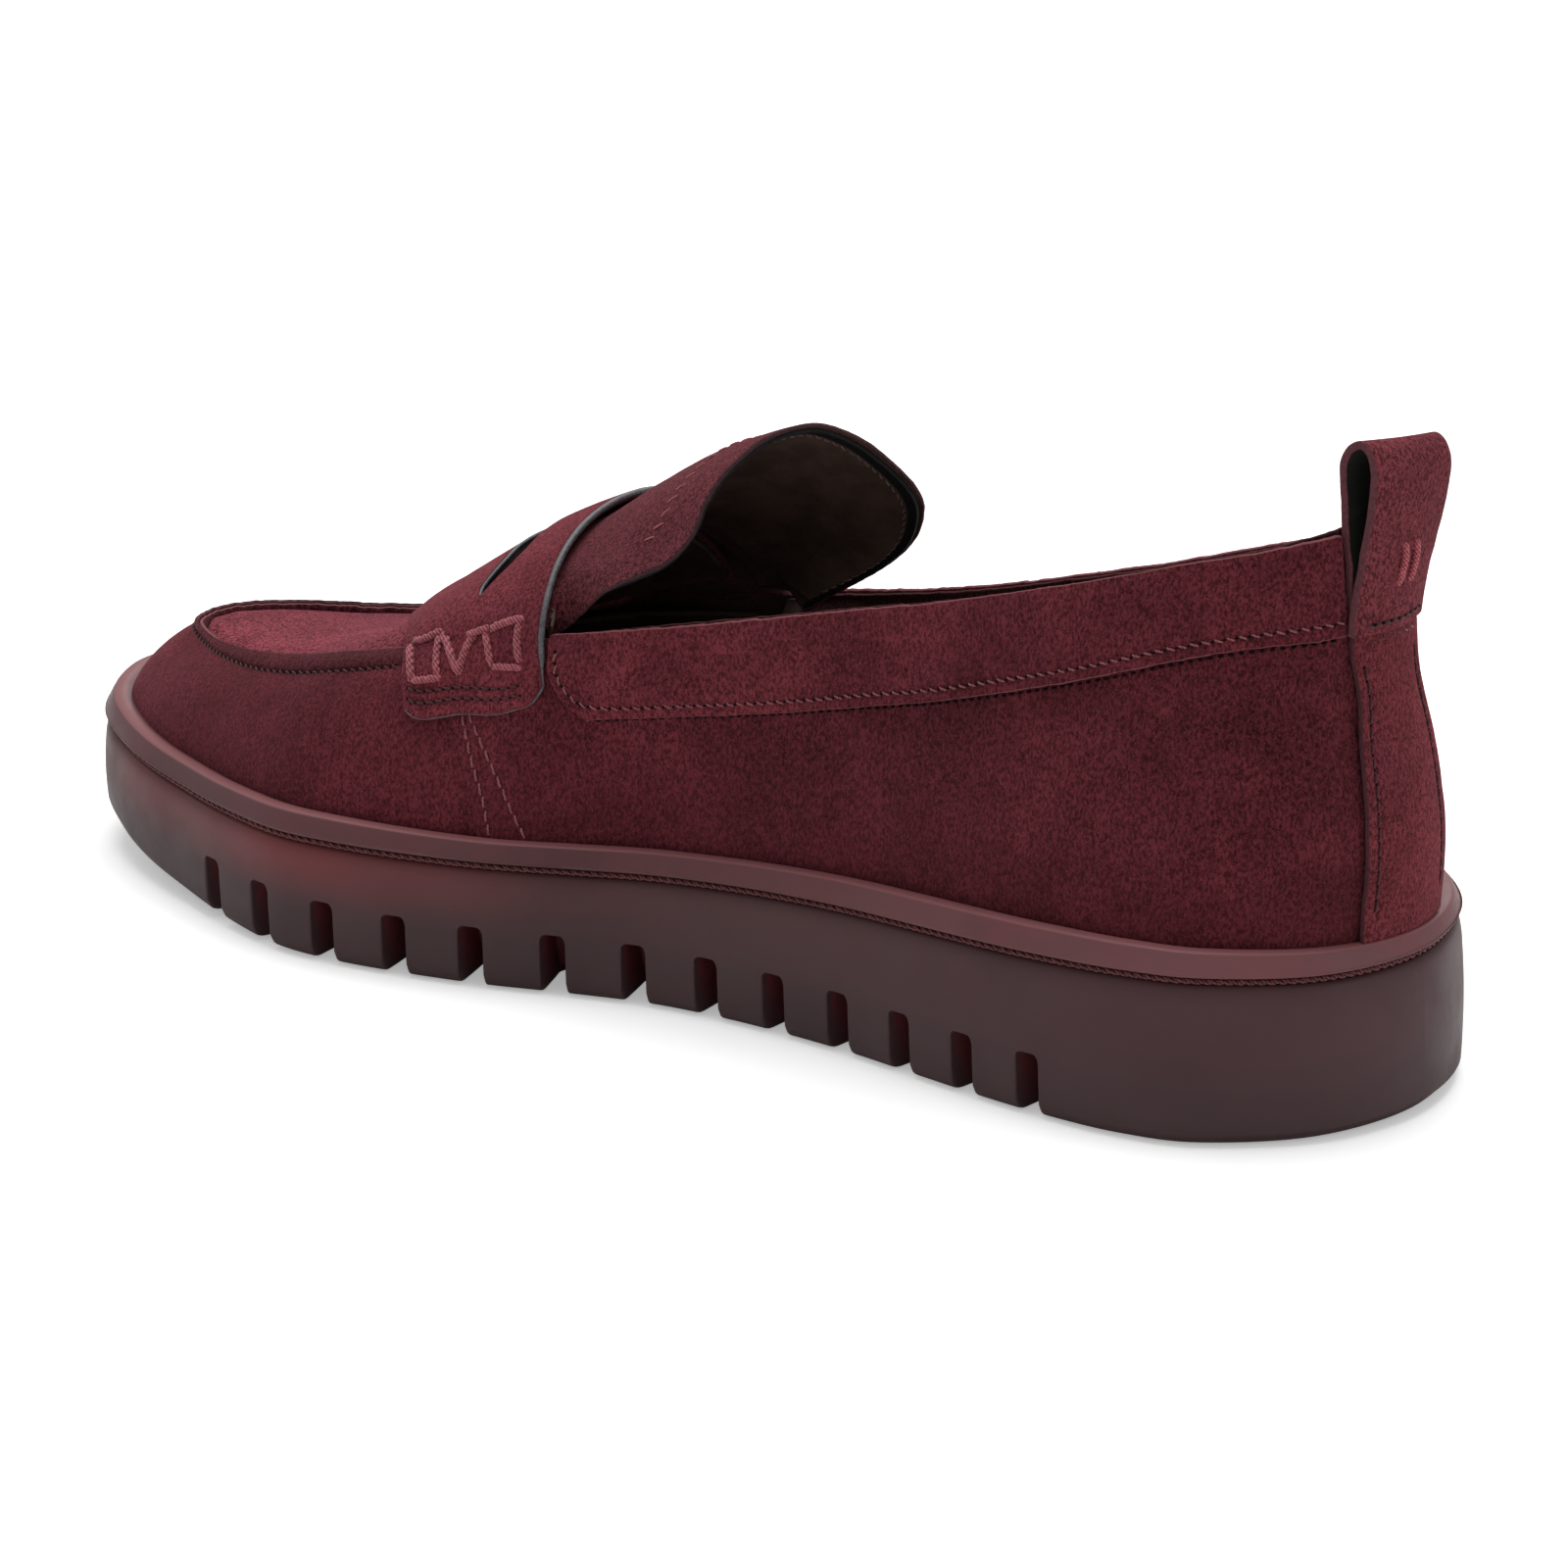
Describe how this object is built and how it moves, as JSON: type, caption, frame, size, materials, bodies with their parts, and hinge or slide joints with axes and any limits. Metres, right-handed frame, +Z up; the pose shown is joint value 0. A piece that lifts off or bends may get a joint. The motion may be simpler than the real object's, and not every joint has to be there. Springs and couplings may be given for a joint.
{
  "type": "penny loafer",
  "caption": "Slip-on moccasin-toe loafer for the right foot: slit strap over the instep, lugged platform sole, flexing tongue and a folding heel pull tab.",
  "frame": {"origin": "on the ground under the middle of the sole, at the ground_face mount", "axes": "+X towards the heel, -X towards the toe, -Y towards the medial (inner) side, +Z up; ground at z = 0"},
  "size_m": [0.2799, 0.103, 0.1182],
  "materials": {
    "rubber": "semi-matte moulded rubber",
    "rim_rubber": "smoother, slightly glossy rubber",
    "foam": "closed-cell foam",
    "board": "fibre board",
    "shank_steel": "spring steel",
    "suede": "burgundy suede nap",
    "apron_suede": "burgundy suede, lighter brushed nap",
    "lining": "near-black maroon lining",
    "edge": "dark grey smooth binding",
    "thread": "waxed thread",
    "stiffener": "thermoplastic stiffener sheet"
  },
  "bodies": {
    "shoe": {"outsole": "rubber", "sole_rim": "rim_rubber", "sidewall_stitching": "thread", "midsole": "foam", "shank": "shank_steel", "insole_board": "board", "footbed": "foam", "footbed_cover": "lining", "vamp": "suede", "apron": "apron_suede", "apron_seam_lip": "suede", "quarter_medial": "suede", "quarter_lateral": "suede", "collar_band_medial": "suede", "collar_band_lateral": "suede", "backstay": "suede", "saddle_strap": "suede", "saddle_edge_piping": "edge", "slot_backing": "edge", "hand_stitch_medial": "thread", "hand_stitch_lateral": "thread", "toe_puff": "stiffener", "heel_counter": "stiffener", "vamp_lining": "lining", "apron_lining": "lining", "quarter_lining_medial": "lining", "quarter_lining_lateral": "lining", "heel_lining": "lining", "collar_stitching_medial": "thread", "collar_stitching_lateral": "thread", "side_seam_stitching_medial": "thread", "side_seam_stitching_lateral": "thread", "backstay_stitching": "thread", "apron_seam_thread": "thread"},
    "tongue": {"tongue": "suede", "tongue_lining": "lining", "tongue_edge_binding": "edge"},
    "pull_tab": {"pull_tab": "suede"}
  },
  "joints": [
    {"name": "tongue_flex", "type": "hinge", "parent": "shoe", "child": "tongue", "pos_m": [-0.0235, 0, 0.07], "axis": [0, -1, 0], "range_deg": [-5, 16]},
    {"name": "pull_tab_fold", "type": "hinge", "parent": "shoe", "child": "pull_tab", "pos_m": [0.13221, 0, 0.087], "axis": [0, 1, 0], "range_deg": [0, 100]}
  ]
}
